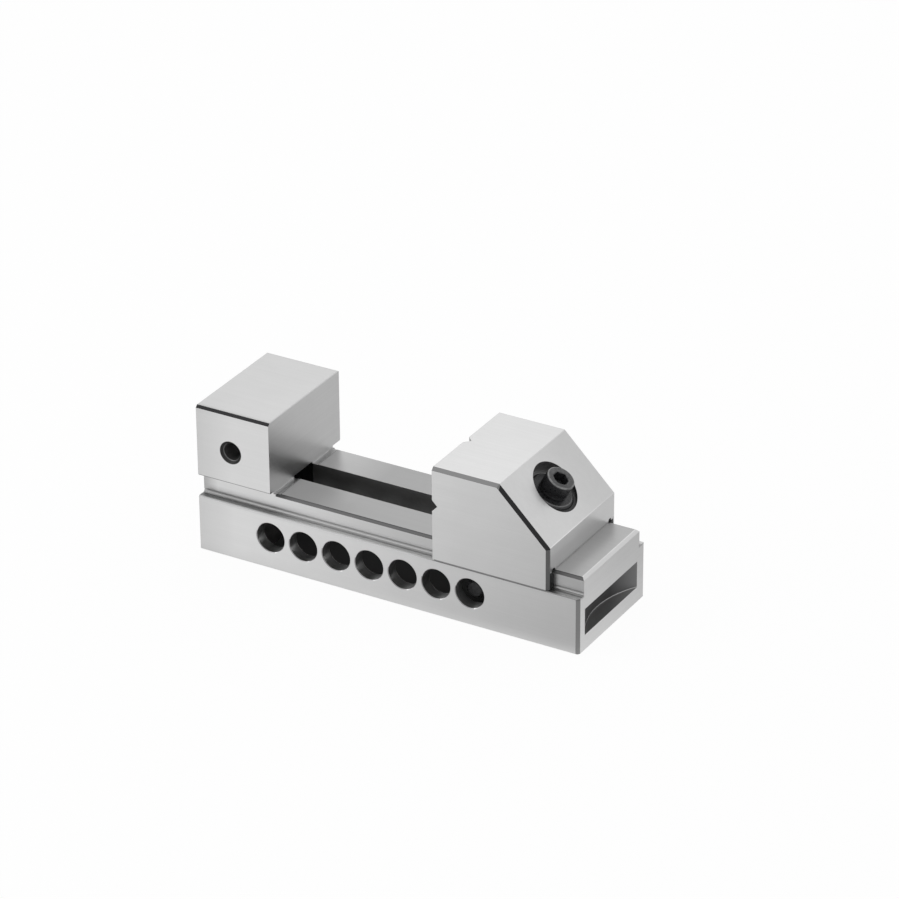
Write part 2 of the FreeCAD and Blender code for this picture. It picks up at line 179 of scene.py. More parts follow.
def make_ring_mask():
    """A mask of one between two radii about the screw's axis and two depths below its head's top."""
    sockets = [
        ("Place", VECTOR, None),
        ("Inner", FLOAT, 0.0),
        ("Outer", FLOAT, 0.01),
        ("Top", FLOAT, 0.0),
        ("Bottom", FLOAT, 0.001),
        ("Border", FLOAT, BORDER),
    ]
    group, given, result = new_group("ring_mask", sockets, ["Mask"])
    away = vector_calculate(group, "SUBTRACT", HEAD_TOP, given["Place"])
    depth = vector_calculate(group, "DOT_PRODUCT", away, SCREW_AXIS, "Value")
    across = vector_calculate(group, "CROSS_PRODUCT", away, SCREW_AXIS)
    radius = vector_calculate(group, "LENGTH", across, output="Value")
    mask = 1.0
    for value, low, high in ((radius, "Inner", "Outer"), (depth, "Top", "Bottom")):
        above = calculate(group, "SUBTRACT", value, given[low])
        below = calculate(group, "SUBTRACT", given[high], value)
        inside = calculate(group, "MINIMUM", above, below)
        share = calculate(group, "DIVIDE", inside, given["Border"], clamp=True)
        mask = calculate(group, "MULTIPLY", mask, share)
    group.links.new(mask, result["Mask"])
    return group


# The grinding's patterns: how fine they are across the lines and along them, per metre, and their detail
GRINDING_PATTERNS = {"Lines": (2600.0, 18.0, 3.0), "Bands": (420.0, 6.0, 2.0)}
END_FACING = 0.8
SMUDGES = {"Scale": 38.0, "Detail": 4.0, "Roughness": 0.6}


def make_grinding_lines():
    """Fine lines from grinding, along X, or along Y on the faces that look along X, and smudges."""
    sockets = [("Place", VECTOR, None), ("Normal", VECTOR, None)]
    group, given, result = new_group("grinding_lines", sockets, ["Lines", "Bands", "Smudges"])
    along_x = calculate(group, "ABSOLUTE", split(group, given["Normal"])["X"])
    ends = calculate(group, "GREATER_THAN", along_x, END_FACING)
    for output, (fast, slow, detail) in GRINDING_PATTERNS.items():
        lengthwise = vector_calculate(group, "MULTIPLY", given["Place"], (slow, fast, fast))
        crosswise = vector_calculate(group, "MULTIPLY", given["Place"], (fast, slow, fast))
        way = mix(group, "VECTOR", ends, lengthwise, crosswise)
        noise = add_node(group, "ShaderNodeTexNoise", {"Vector": way, "Scale": 1.0, "Detail": detail})
        group.links.new(noise.outputs[0], result[output])
    noise = add_node(group, "ShaderNodeTexNoise", {"Vector": given["Place"], **SMUDGES})
    group.links.new(noise.outputs[0], result["Smudges"])
    return group


BOX_MASK = make_box_mask()
ROD_MASK = make_rod_mask()
RING_MASK = make_ring_mask()
GRINDING_LINES = make_grinding_lines()


def grey(level):
    return level, level, level, 1


def new_material(name):
    material = bpy.data.materials.new(name)
    material.use_nodes = True
    tree = material.node_tree
    return material, tree, tree.nodes["Principled BSDF"]


def box(centre, half_size, strength, fade=None, border=BORDER):
    """A place inside a box. A fade names an axis, two stations on it and the share left at the second."""
    return BOX_MASK, {"Centre": centre, "Half Size": half_size, "Border": border}, strength, fade


def rod(point, axis, radius, strength, fade=None, border=BORDER, length=1.0):
    """A place inside a rod, which reaches its length to both sides of the point."""
    values = {"Point": point, "Axis": axis, "Radius": radius, "Length": length, "Border": border}
    return ROD_MASK, values, strength, fade


def both_sides(centre, half_size, strength, fade=None, border=BORDER):
    """A box on the near and one on the far side, with the centre and a fade across the width mirrored."""
    places = []
    for side in (-1, 1):
        x, y, z = centre
        mirrored = fade
        if fade is not None and fade[0] == "Y":
            axis, start, end, share = fade
            mirrored = (axis, side * start, side * end, share)
        places.append(box((x, side * y, z), half_size, strength, mirrored, border))
    return places


def place_mask(tree, place, group, values, strength, fade):
    """How much of a place's finish the surface has."""
    mask = place_group(tree, group, {"Place": place, **values}).outputs[0]
    mask = calculate(tree, "MULTIPLY", mask, strength)
    if fade is None:
        return mask
    axis, start, end, share = fade
    return calculate(tree, "MULTIPLY", mask, remap(tree, split(tree, place)[axis], start, end, 1.0, share))


def strongest(tree, place, places, base=0.0):
    """The strongest of several place masks."""
    mask = base
    for entry in places:
        mask = calculate(tree, "MAXIMUM", mask, place_mask(tree, place, *entry))
    return mask


# Limits of the normal on a side chamfer, across the width and along the other two axes
CHAMFER_SIDEWAYS = (0.6, 0.8)
CHAMFER_OTHERWISE = (-0.2, 1.0)


def side_chamfers(tree, normal):
    """A mask of the chamfers along both sides, which lean halfway between two faces."""
    facing = split(tree, normal)
    sideways = calculate(tree, "ABSOLUTE", facing["Y"])
    lengthwise = (facing["X"], CHAMFER_OTHERWISE)
    upwards = (facing["Z"], CHAMFER_OTHERWISE)
    mask = 1.0
    for way, (low, high) in ((sideways, CHAMFER_SIDEWAYS), lengthwise, upwards):
        for operation, limit in (("GREATER_THAN", low), ("LESS_THAN", high)):
            mask = calculate(tree, "MULTIPLY", mask, calculate(tree, operation, way, limit))
    return mask


# Ground steel: its tones, among them the painted highlight and painted shade tones, how strongly bands and
# smudges show, its gloss and the depth of its lines
GROUND_TONE = grey(0.645)
GROUND_BRIGHT_TONE = grey(0.675)
GROUND_BAND_TONE = grey(0.63)
SMUDGE_TONE = grey(0.60)
# painted highlight, painted shade, dark scale that is also painted shade, and near-black painted shade for
# the deep places
PAINTED_HIGHLIGHT_TONE = grey(0.86)
PAINTED_SHADE_TONE = grey(0.10)
SCALE_AND_PAINTED_SHADE_TONE = (0.035, 0.035, 0.036, 1)
PAINTED_DEEP_SHADE_TONE = grey(0.010)
LINE_LIMITS = (0.3, 0.7)
SMUDGE_LIMITS = (0.35, 0.65)
BAND_SHARE = 0.35
SMUDGE_SHARE = 0.3
GROUND_ROUGHNESS = (0.30, 0.38)
SCALE_ROUGHNESS = 0.55
EDGE_ROUNDING = 0.00025
LINE_RELIEF = {"Strength": 0.07, "Distance": 0.00005}


def ground_steel(name, chamfer_painted_reflections, painted_deep_shade_places, scale_and_painted_shade_places, painted_shade_places, painted_highlight_places=()):
    """Fine ground steel, with a painted highlight in some places and painted shade in others.

    The chamfers get a painted dark reflection, the scale places get dark scale that also serves as painted
    shade, and the deep places are painted near black as shade."""
    material, tree, shader = new_material(name)
    coordinates = add_node(tree, "ShaderNodeTexCoord")
    place = coordinates.outputs["Object"]
    normal = coordinates.outputs["Normal"]
    marks = place_group(tree, GRINDING_LINES, {"Place": place, "Normal": normal}).outputs
    lines = remap(tree, marks["Lines"], *LINE_LIMITS)
    bands = remap(tree, marks["Bands"], *LINE_LIMITS)
    smudges = remap(tree, marks["Smudges"], *SMUDGE_LIMITS)

    # the chamfers get a painted dark reflection
    chamfers = strongest(tree, place, chamfer_painted_reflections)
    chamfers = calculate(tree, "MULTIPLY", side_chamfers(tree, normal), chamfers)
    # dark scale, which is also painted shade, in its places and on the chamfers
    scale = strongest(tree, place, scale_and_painted_shade_places, chamfers)
    deep = strongest(tree, place, painted_deep_shade_places)
    tone = mix(tree, "RGBA", lines, GROUND_TONE, GROUND_BRIGHT_TONE)
    for share, layer_tone in (
        (calculate(tree, "MULTIPLY", bands, BAND_SHARE), GROUND_BAND_TONE),
        (calculate(tree, "MULTIPLY", smudges, SMUDGE_SHARE), SMUDGE_TONE),
        # painted highlight and painted shade, mixed in over the steel's own tones
        (strongest(tree, place, painted_highlight_places), PAINTED_HIGHLIGHT_TONE),
        (strongest(tree, place, painted_shade_places), PAINTED_SHADE_TONE),
        (scale, SCALE_AND_PAINTED_SHADE_TONE),
        (deep, PAINTED_DEEP_SHADE_TONE),
    ):
        tone = mix(tree, "RGBA", share, tone, layer_tone)
    roughness = mix(tree, "FLOAT", bands, *GROUND_ROUGHNESS)
    roughness = mix(tree, "FLOAT", calculate(tree, "MAXIMUM", scale, deep), roughness, SCALE_ROUGHNESS)

    rounded = add_node(tree, "ShaderNodeBevel", {"Radius": EDGE_ROUNDING}, samples=4)
    relief = {"Height": marks["Lines"], "Normal": rounded.outputs[0], **LINE_RELIEF}
    bump = add_node(tree, "ShaderNodeBump", relief)
    tree.links.new(tone, shader.inputs["Base Color"])
    tree.links.new(roughness, shader.inputs["Roughness"])
    tree.links.new(bump.outputs[0], shader.inputs["Normal"])
    shader.inputs["Metallic"].default_value = 1.0
    return material


# Black oxide: its tones, its gloss, its clouds, and where the screw and washer are rubbed grey with a
# painted highlight, and how much
OXIDE_TONE = (0.013, 0.013, 0.014, 1)
OXIDE_PALE_TONE = (0.032, 0.032, 0.034, 1)
OXIDE_ROUGHNESS = (0.26, 0.40)
OXIDE_METALLIC = (0.3, 1.0)
CLOUDS = {"Scale": 900.0, "Detail": 3.0}
CLOUD_LIMITS = (0.35, 0.65)
# grey of the wear, which is also a painted highlight on the rims and the head's top
WORN_AND_HIGHLIGHT_TONE = grey(0.30)
WORN_AND_HIGHLIGHT_PATCHES = {"Scale": 520.0, "Detail": 2.0}
WORN_AND_HIGHLIGHT_PATCH_LEVELS = (0.3, 0.6, 0.45, 1.0)
WORN_AND_HIGHLIGHT_RINGS = [
    # the rim of the head's top
    ({"Inner": 0.0070, "Outer": 0.0083, "Top": -0.0003, "Bottom": 0.0008, "Border": 0.0003}, 0.75),
    # the mouth of the key socket
    ({"Inner": 0.0042, "Outer": 0.0054, "Top": -0.0003, "Bottom": 0.0007, "Border": 0.0003}, 0.30),
    # the head's top face
    ({"Inner": 0.0045, "Outer": 0.0083, "Top": -0.0003, "Bottom": 0.0003, "Border": 0.0002}, 0.22),
    # the edge of the washer's flat top
    ({"Inner": 0.0109, "Outer": 0.0119, "Top": 0.0096, "Bottom": 0.0106, "Border": 0.0003}, 0.45),
]


def black_oxide(name, worn_and_highlight_rings):
    """Black oxide over steel, rubbed grey in the given rings, which also paints a highlight there."""
    material, tree, shader = new_material(name)
    place = add_node(tree, "ShaderNodeTexCoord").outputs["Object"]
    noise = add_node(tree, "ShaderNodeTexNoise", {"Vector": place, **CLOUDS})
    cloud = remap(tree, noise.outputs[0], *CLOUD_LIMITS)
    # wear together with a painted highlight
    worn_and_highlight = 0.0
    for ring, strength in worn_and_highlight_rings:
        mask = place_group(tree, RING_MASK, {"Place": place, **ring}).outputs[0]
        worn_and_highlight = calculate(tree, "MAXIMUM", worn_and_highlight, calculate(tree, "MULTIPLY", mask, strength))
    patches = add_node(tree, "ShaderNodeTexNoise", {"Vector": place, **WORN_AND_HIGHLIGHT_PATCHES})
    worn_and_highlight = calculate(tree, "MULTIPLY", worn_and_highlight, remap(tree, patches.outputs[0], *WORN_AND_HIGHLIGHT_PATCH_LEVELS))
    tone = mix(tree, "RGBA", cloud, OXIDE_TONE, OXIDE_PALE_TONE)
    tone = mix(tree, "RGBA", worn_and_highlight, tone, WORN_AND_HIGHLIGHT_TONE)
    tree.links.new(tone, shader.inputs["Base Color"])
    tree.links.new(mix(tree, "FLOAT", cloud, *OXIDE_ROUGHNESS), shader.inputs["Roughness"])
    tree.links.new(mix(tree, "FLOAT", worn_and_highlight, *OXIDE_METALLIC), shader.inputs["Metallic"])
    return material


def dress(piece, material):
    piece.data.materials.clear()
    piece.data.materials.append(material)


# The body's places with painted reflection, painted shade or dark scale, each with its centre, half its size
# and the strength of the painted tone
# painted dark reflection on the chamfers in these places
BODY_CHAMFER_PAINTED_REFLECTIONS = [
    # along the fixed jaw's top
    box((-0.095, 0, 0.088), (0.03, 0.04, 0.004), 1.0),
    # along the rail's top
    box((0.02, 0, RAIL_TOP), (0.1, 0.04, 0.003), 0.85),
    # down the open end
    box((0.118, 0, 0.0167), (0.002, 0.04, 0.018), 0.60),
    # along the base's top
    box((0, 0, 0.0332), (LENGTH, 0.04, 0.001), 0.66, ("X", 0.034, 0.016, 0.64)),
    # round the cross holes
    box((0, 0, 0.019), (0.09, 0.04, 0.0098), 0.5),
]
# near-black painted shade, which in the hollow also stands for unground scale
BODY_PAINTED_DEEP_SHADE = [
    # the hollow under the rail
    box((0, 0, 0.01425), (0.0864, 0.0293, 0.01415), 0.98),
    # the rail's slot
    box((-0.0025, 0, 0.033), (0.081, 0.0096, 0.01055), 0.98),
    # the stop hole in the fixed jaw's side
    rod(
        (STOP_HOLE_X, -HALF_WIDTH, STOP_HOLE_Z),
        (0, 1, 0),
        0.0069,
        0.95,
        fade=("Y", -0.0353, -0.0345, 0.42),
        length=0.04,
    ),
]
# dark scale that is also painted shade in these recesses, holes and lower edges
BODY_SCALE_AND_PAINTED_SHADE = [
    # the recess in the open end
    box((0.112, 0, 0.0169), (0.0061, 0.034, 0.0079), 0.95, ("Y", 0.012, 0.034, 0.72)),
    # the relief across the rail in front of the fixed jaw
    box((FIXED_JAW_FACE + 0.0024, 0, RAIL_TOP), (0.0003, RAIL_HALF_WIDTH, 0.0004), 0.6, border=FINE_BORDER),
    # the walls of the cross holes
    *both_sides((-0.0102, 0.0327, 0.019), (0.075, 0.0034, 0.0105), 0.55, ("Y", 0.0298, 0.0355, 0.0)),
    # the lower edges of the fixed jaw's sides
    *both_sides(
        (-0.0951, 0.0363, JAW_UNDERSIDE + 0.0002), (0.0229, 0.0006, 0.0005), 0.6, border=FINE_BORDER
    ),
]
# painted shade
BODY_PAINTED_SHADE = [
    # the rail's top, towards the fixed jaw and towards the open end
    box((-0.0185, 0, RAIL_TOP), (0.051, 0.032, 0.0005), 0.52, ("X", -0.03, -0.068, 0.45)),
    box((0.0733, 0, RAIL_TOP), (0.0430, 0.032, 0.0005), 0.52, ("X", 0.035, 0.098, 0.87)),
    # the rail's near side
    box((0.023, -RAIL_HALF_WIDTH, 0.0385), (0.1, 0.0005, 0.005), 0.2, ("X", 0.02, -0.07, 0.0)),
    # the outer end of the fixed jaw's near side, and of the neck below it
    box((-0.107, -HALF_WIDTH, 0.045), (0.012, 0.0005, 0.045), 0.15, ("X", -0.117, -0.096, 0.0)),
    box((-0.112, -RAIL_HALF_WIDTH, 0.0396), (0.0064, 0.0005, 0.0062), 0.45, ("X", -0.1175, -0.109, 0.0)),
    # the fixed jaw's top
    box((-0.09, 0, JAW_TOP), (0.03, 0.036, 0.0005), 0.09),
    # the ledges beside the rail
    *both_sides(
        (0, 0.0336, BASE_HEIGHT), (LENGTH, 0.0031, 0.0017), 0.86, ("X", -0.074, -0.045, 0.3), border=0.0016
    ),
    # the rail's foot, and the relief along it
    *both_sides((0.02, 0.0322, BASE_HEIGHT), (0.1, 0.0020, 0.0013), 0.7, border=0.0014),
    *both_sides((0, 0.0318, 0.0337), (LENGTH, 0.0011, 0.0013), 0.6, ("X", -0.10, -0.05, 0.7)),
]

# The movable jaw's places with painted reflection, highlight or shade, or dark scale
# painted dark reflection on the chamfers
JAW_CHAMFER_PAINTED_REFLECTIONS = [
    # round the whole jaw
    box((0.065, 0, 0.06), (0.04, 0.04, 0.04), 0.72),
    # down the rear end
    box((0.1, 0, 0.046), (0.004, 0.04, 0.0123), 0.80, border=FINE_BORDER),
    # along the slope
    box((0.0925, 0, 0.073), (0.0225, 0.04, 0.0153), 1.0, border=FINE_BORDER),
]
# near-black painted shade behind the skirts
JAW_PAINTED_DEEP_SHADE = [
    # the rear ends of the skirts
    *both_sides((0.10015, 0.0329, 0.0385), (0.0004, 0.0020, 0.0051), 0.95, border=FINE_BORDER),
]
# dark scale that is also painted shade round the washer and along the lower edge
JAW_SCALE_AND_PAINTED_SHADE = [
    # the counterbore round the washer
    rod(HEAD_TOP, SCREW_AXIS, 0.0148, 0.97, fade=("X", 0.092, 0.078, 0.55), border=FINE_BORDER),
    # the lower edge
    box((0.0648, 0, 0.0336), (0.0345, 0.037, 0.00055), 0.5),
]
# painted shade on the slope, stronger towards the far side
JAW_PAINTED_SHADE = [
    # the slope
    box((0.085, 0, 0.0735), (0.0155, 0.0362, 0.0152), 0.13, ("Y", 0.03, -0.01, 0.0)),
]
# painted highlight on the rear end, stronger towards the near side
JAW_PAINTED_HIGHLIGHT = [
    # the rear end
    box((0.10015, 0, 0.052), (0.0004, 0.0365, 0.0075), 0.85, ("Y", -0.01, 0.025, 0.5)),
]

body_steel = ground_steel("body_steel", BODY_CHAMFER_PAINTED_REFLECTIONS, BODY_PAINTED_DEEP_SHADE, BODY_SCALE_AND_PAINTED_SHADE, BODY_PAINTED_SHADE)
jaw_steel = ground_steel("jaw_steel", JAW_CHAMFER_PAINTED_REFLECTIONS, JAW_PAINTED_DEEP_SHADE, JAW_SCALE_AND_PAINTED_SHADE, JAW_PAINTED_SHADE, JAW_PAINTED_HIGHLIGHT)
oxide = black_oxide("black_oxide", WORN_AND_HIGHLIGHT_RINGS)
dress(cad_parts["movable_jaw"], jaw_steel)
for name in ("draw_nut", "cross_pin", "grub_screw"):
    dress(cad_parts[name], oxide)


# Screw, from the middle of the head's top face down
HEAD_RADIUS = 0.008
HEAD_HEIGHT = 0.010
HEAD_TOP_ROUND = 0.0009
HEAD_FOOT_ROUND = 0.0007
KNURLS = 64
KNURL_DEPTH = 0.97
KNURL_TOP = 0.0012
KNURL_FOOT = 0.0088
KNURL_RUN_OUT = 0.0003
SOCKET_HALF_FLATS = 0.004
SOCKET_CORNER_RADIUS = SOCKET_HALF_FLATS / math.cos(math.radians(30))
SOCKET_DEPTH = 0.0055
SOCKET_MOUTH_RADIUS = 0.0053
SOCKET_MOUTH_FOOT_RADIUS = SOCKET_CORNER_RADIUS - 0.0006
SOCKET_MOUTH_TOP = 0.0003
SOCKET_MOUTH_DEPTH = 0.0007
DRILL_RADIUS = SOCKET_HALF_FLATS * 0.97
DRILL_TIP_RADIUS = 0.0002
DRILL_TIP_DEPTH = 0.0012
DRILL_RAISE = 0.0001
SOCKET_RAISE = 0.001
SHANK_RADIUS = 0.005
SHANK_END = 0.028
SHANK_IN_HEAD = 0.001
ROUND_SIDES = 64
DRILL_SIDES = 48

# Spring and washer, in the same frame
SPRING_TOP = 0.02947
SPRING_LENGTH = 0.0158
SPRING_MEAN_RADIUS = 0.00725
SPRING_WIRE_RADIUS = 0.0006
SPRING_WIRE_SIDES = 14
SPRING_END_GAP = 0.00005
SPRING_TURNS = 4.5
SPRING_STEPS = 180
WASHER_DIAMETER = 0.025
WASHER_HOLE = 0.0106
WASHER_TOP = 0.01002
WASHER_FLAT_RADIUS = 0.0114
WASHER_FLANK_DROP = 0.0012
WASHER_EDGE = 0.0002
WASHER_BALL_STEPS = 10
WASHER_SIDES = 96
BALL_RADIUS = 0.016
BALL_CENTRE_DEPTH = 0.002

# Points closer than this are one
SAME_PLACE = 1e-6


def deselect():
    if bpy.context.mode != "OBJECT":
        bpy.ops.object.mode_set(mode="OBJECT")
    bpy.ops.object.select_all(action="DESELECT")


def take(piece):
    deselect()
    piece.select_set(True)
    bpy.context.view_layer.objects.active = piece


def edit(piece):
    take(piece)
    bpy.ops.object.mode_set(mode="EDIT")
    bpy.ops.mesh.select_mode(type="VERT")


def leave_edit():
    bpy.ops.object.mode_set(mode="OBJECT")


def settle():
    """Moves the place and turn of the chosen piece into its mesh."""
    bpy.ops.object.transform_apply(location=True, rotation=True, scale=True)


def named_primitive(name):
    """The primitive that was added last, under its name and with its place in its mesh."""
    piece = bpy.context.object
    piece.name = name
    settle()
    return piece


def add_rod(name, radius, top, foot, sides):
    """A cylinder on the Z axis between two heights."""
    deselect()
    middle = (0, 0, (top + foot) / 2)
    bpy.ops.mesh.primitive_cylinder_add(vertices=sides, radius=radius, depth=top - foot, location=middle)
    return named_primitive(name)


def add_cone(name, foot_radius, top_radius, foot, top, sides):
    """A cut cone on the Z axis between two heights."""
    deselect()
    middle = (0, 0, (top + foot) / 2)
    bpy.ops.mesh.primitive_cone_add(
        vertices=sides, radius1=foot_radius, radius2=top_radius, depth=top - foot, location=middle
    )
    return named_primitive(name)


def choose_vertices(piece, wanted):
    """Selects the vertices that pass the test, in edit mode, with the edges and faces between them."""
    mesh = bmesh.from_edit_mesh(piece.data)
    for face in mesh.faces:
        face.select = False
    for edge in mesh.edges:
        edge.select = False
    for vertex in mesh.verts:
        vertex.select = wanted(vertex.co)
    mesh.select_flush(True)
    bmesh.update_edit_mesh(piece.data)


def cut_ring(height):
    """Adds a loop of edges all round at one height."""
    bpy.ops.mesh.select_all(action="SELECT")
    bpy.ops.mesh.bisect(plane_co=(0, 0, height), plane_no=(0, 0, 1))


def bevel_rim(piece, height, size, steps):
    """Bevels the rim at one height."""
    choose_vertices(piece, lambda co: abs(co.z - height) < SAME_PLACE)
    bpy.ops.mesh.bevel(offset=size, segments=steps, affect="EDGES")


def merge_doubles():
    bpy.ops.mesh.select_all(action="SELECT")
    bpy.ops.mesh.remove_doubles(threshold=SAME_PLACE)


def face_outwards():
    bpy.ops.mesh.select_all(action="SELECT")
    bpy.ops.mesh.normals_make_consistent(inside=False)


def combine(piece, other, operation):
    """Adds or cuts away another closed mesh, and removes it."""
    take(piece)
    change = piece.modifiers.new("combine", "BOOLEAN")
    change.operation = operation
    change.object = other
    change.solver = "EXACT"
    bpy.ops.object.modifier_apply(modifier=change.name)
    bpy.data.objects.remove(other)


def finish_piece(piece, name, body, material, angle):
    """Names and dresses a piece, smooths its flatter edges, and sets its body."""
    piece.name = name
    piece.data.name = name
    dress(piece, material)
    take(piece)
    bpy.ops.object.shade_smooth_by_angle(angle=math.radians(angle))
    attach(piece, body)


def put_on_screw(piece):
    """Moves a piece from the screw's own frame to its place in the vise."""
    take(piece)
    piece.location = HEAD_TOP
    piece.rotation_euler = (0, SCREW_LEAN, 0)
    settle()


def in_knurl_groove(co):
    """Whether a point of the head's side lies in a groove between two knurls."""
    index = round(math.atan2(co.y, co.x) * KNURLS / math.pi)
    return index % 2 == 1 and -KNURL_FOOT + SAME_PLACE < co.z < -KNURL_TOP - SAME_PLACE


def make_head():
    """The screw's knurled head, with its key socket, which is drilled and countersunk."""
    head = add_rod("head", HEAD_RADIUS, 0, -HEAD_HEIGHT, 2 * KNURLS)
    edit(head)
    for height in (-KNURL_TOP, -KNURL_TOP - KNURL_RUN_OUT, -KNURL_FOOT + KNURL_RUN_OUT, -KNURL_FOOT):
        cut_ring(height)
    choose_vertices(head, in_knurl_groove)
    bpy.ops.transform.resize(value=(KNURL_DEPTH, KNURL_DEPTH, 1), center_override=(0, 0, 0))
    bevel_rim(head, 0, HEAD_TOP_ROUND, 3)
    bevel_rim(head, -HEAD_HEIGHT, HEAD_FOOT_ROUND, 2)
    leave_edit()
    socket = add_rod("socket", SOCKET_CORNER_RADIUS, SOCKET_RAISE, -SOCKET_DEPTH, 6)
    combine(head, socket, "DIFFERENCE")
    tip = -SOCKET_DEPTH - DRILL_TIP_DEPTH
    drill = add_cone("drill", DRILL_TIP_RADIUS, DRILL_RADIUS, tip, -SOCKET_DEPTH + DRILL_RAISE, DRILL_SIDES)
    combine(head, drill, "DIFFERENCE")
    radii = (SOCKET_MOUTH_FOOT_RADIUS, SOCKET_MOUTH_RADIUS)
    mouth = add_cone("mouth", *radii, -SOCKET_MOUTH_DEPTH, SOCKET_MOUTH_TOP, ROUND_SIDES)
    combine(head, mouth, "DIFFERENCE")
    return head


def make_screw():
    """The cap screw's head and the plain part of its shank. The threaded part below isn't made here."""
    screw = make_head()
    shank = add_rod("shank", SHANK_RADIUS, -HEAD_HEIGHT + SHANK_IN_HEAD, -SHANK_END, ROUND_SIDES)
    combine(screw, shank, "UNION")
    put_on_screw(screw)
    finish_piece(screw, "cap_screw", "screw", oxide, 25)
    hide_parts("clamp_screw")


def make_washer():
    """The washer, turned from one profile: a flat top inside a sloping flank, and the ball below."""
    hole = WASHER_HOLE / 2
    outer = WASHER_DIAMETER / 2
    profile = [
        (hole + WASHER_EDGE, WASHER_TOP),
        (WASHER_FLAT_RADIUS - WASHER_EDGE, WASHER_TOP),
        (WASHER_FLAT_RADIUS, WASHER_TOP + WASHER_EDGE / 2),
        (outer - WASHER_EDGE / 2, WASHER_TOP + WASHER_FLANK_DROP),
        (outer, WASHER_TOP + WASHER_FLANK_DROP + WASHER_EDGE / 2),
    ]
    for step in range(WASHER_BALL_STEPS + 1):
        radius = outer + (hole - outer) * step / WASHER_BALL_STEPS
        profile.append((radius, BALL_CENTRE_DEPTH + math.sqrt(BALL_RADIUS ** 2 - radius ** 2)))
    profile.append((hole, WASHER_TOP + WASHER_EDGE))
    deselect()
    bpy.ops.mesh.primitive_circle_add(vertices=len(profile), radius=outer)
    washer = named_primitive("washer")
    edit(washer)
    mesh = bmesh.from_edit_mesh(washer.data)
    for vertex, (radius, depth) in zip(mesh.verts, profile):
        vertex.co = Vector((radius, 0, -depth))
    bmesh.update_edit_mesh(washer.data)
    bpy.ops.mesh.select_all(action="SELECT")
    bpy.ops.mesh.spin(steps=WASHER_SIDES, angle=2 * math.pi, center=(0, 0, 0), axis=(0, 0, 1))
    merge_doubles()
    face_outwards()
    leave_edit()
    put_on_screw(washer)
    finish_piece(washer, "dished_washer", "swivel", oxide, 25)
    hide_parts("ball_washer")


def make_spring():
    """The coil of round wire, turned from one circle and closed at both ends."""
    deselect()
    foot = -SPRING_TOP - SPRING_LENGTH + SPRING_WIRE_RADIUS + SPRING_END_GAP
    bpy.ops.mesh.primitive_circle_add(
        vertices=SPRING_WIRE_SIDES,
        radius=SPRING_WIRE_RADIUS,
        location=(SPRING_MEAN_RADIUS, 0, foot),
        rotation=(math.pi / 2, 0, 0),
    )
    wire = named_primitive("wire")
    coil = wire.modifiers.new("coil", "SCREW")
    coil.angle = 2 * math.pi * SPRING_TURNS
    coil.screw_offset = SPRING_LENGTH - 2 * SPRING_WIRE_RADIUS - 2 * SPRING_END_GAP
    coil.iterations = 1
    coil.steps = SPRING_STEPS
    coil.render_steps = SPRING_STEPS
    bpy.ops.object.modifier_apply(modifier=coil.name)
    edit(wire)
    bpy.ops.mesh.select_all(action="DESELECT")
    bpy.ops.mesh.select_non_manifold()
    bpy.ops.mesh.edge_face_add()
    face_outwards()
    leave_edit()
    put_on_screw(wire)
    finish_piece(wire, "coil_spring", "swivel", oxide, 40)
    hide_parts("release_spring")
    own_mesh(wire)


def make_body():
    """The body's solid, merged so that its round faces can be shaded smoothly."""
    piece = bpy.data.objects.new("vise_body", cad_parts["body"].data.copy())
    bpy.context.scene.collection.objects.link(piece)
    take(piece)
    bpy.ops.mesh.customdata_custom_splitnormals_clear()
    edit(piece)
    merge_doubles()
    leave_edit()
    finish_piece(piece, "vise_body", "base", body_steel, 20)
    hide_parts("body")


make_screw()
make_washer()
make_spring()
make_body()


# Camera
TARGET = Vector((1.6 * WIDTH - LENGTH / 2, 0, WIDTH / 2))
AZIMUTH = math.radians(30.28)
ELEVATION = math.radians(27.85)
ROLL = math.radians(-0.45)
DISTANCE = 33.76 * WIDTH
SIDE_SHIFT = 0.2413 * WIDTH
UP_SHIFT = 0.4657 * WIDTH
IMAGE_SIDE = 899
FOCAL_PIXELS = 4555
SENSOR = 36
NEAREST = 0.1
FARTHEST = 50


def make_camera():
    """The camera, placed by its distance and angles from a target, and shifted sideways and up."""
    back = Vector((
        math.sin(AZIMUTH) * math.cos(ELEVATION),
        -math.cos(AZIMUTH) * math.cos(ELEVATION),
        math.sin(ELEVATION),
    ))
    level = Vector((math.cos(AZIMUTH), math.sin(AZIMUTH), 0))
    upright = back.cross(level)
    right = math.cos(ROLL) * level + math.sin(ROLL) * upright
    up = math.cos(ROLL) * upright - math.sin(ROLL) * level
    place = TARGET + SIDE_SHIFT * right + UP_SHIFT * up + DISTANCE * back
    data = bpy.data.cameras.new("camera")
    data.sensor_width = SENSOR
    data.lens = FOCAL_PIXELS / IMAGE_SIDE * SENSOR
    data.clip_start = NEAREST
    data.clip_end = FARTHEST
    camera = bpy.data.objects.new("camera", data)
    camera.matrix_world = Matrix((
        (right.x, up.x, back.x, place.x),
        (right.y, up.y, back.y, place.y),
        (right.z, up.z, back.z, place.z),
        (0, 0, 0, 1),
    ))
    bpy.context.scene.collection.objects.link(camera)
    bpy.context.scene.camera = camera


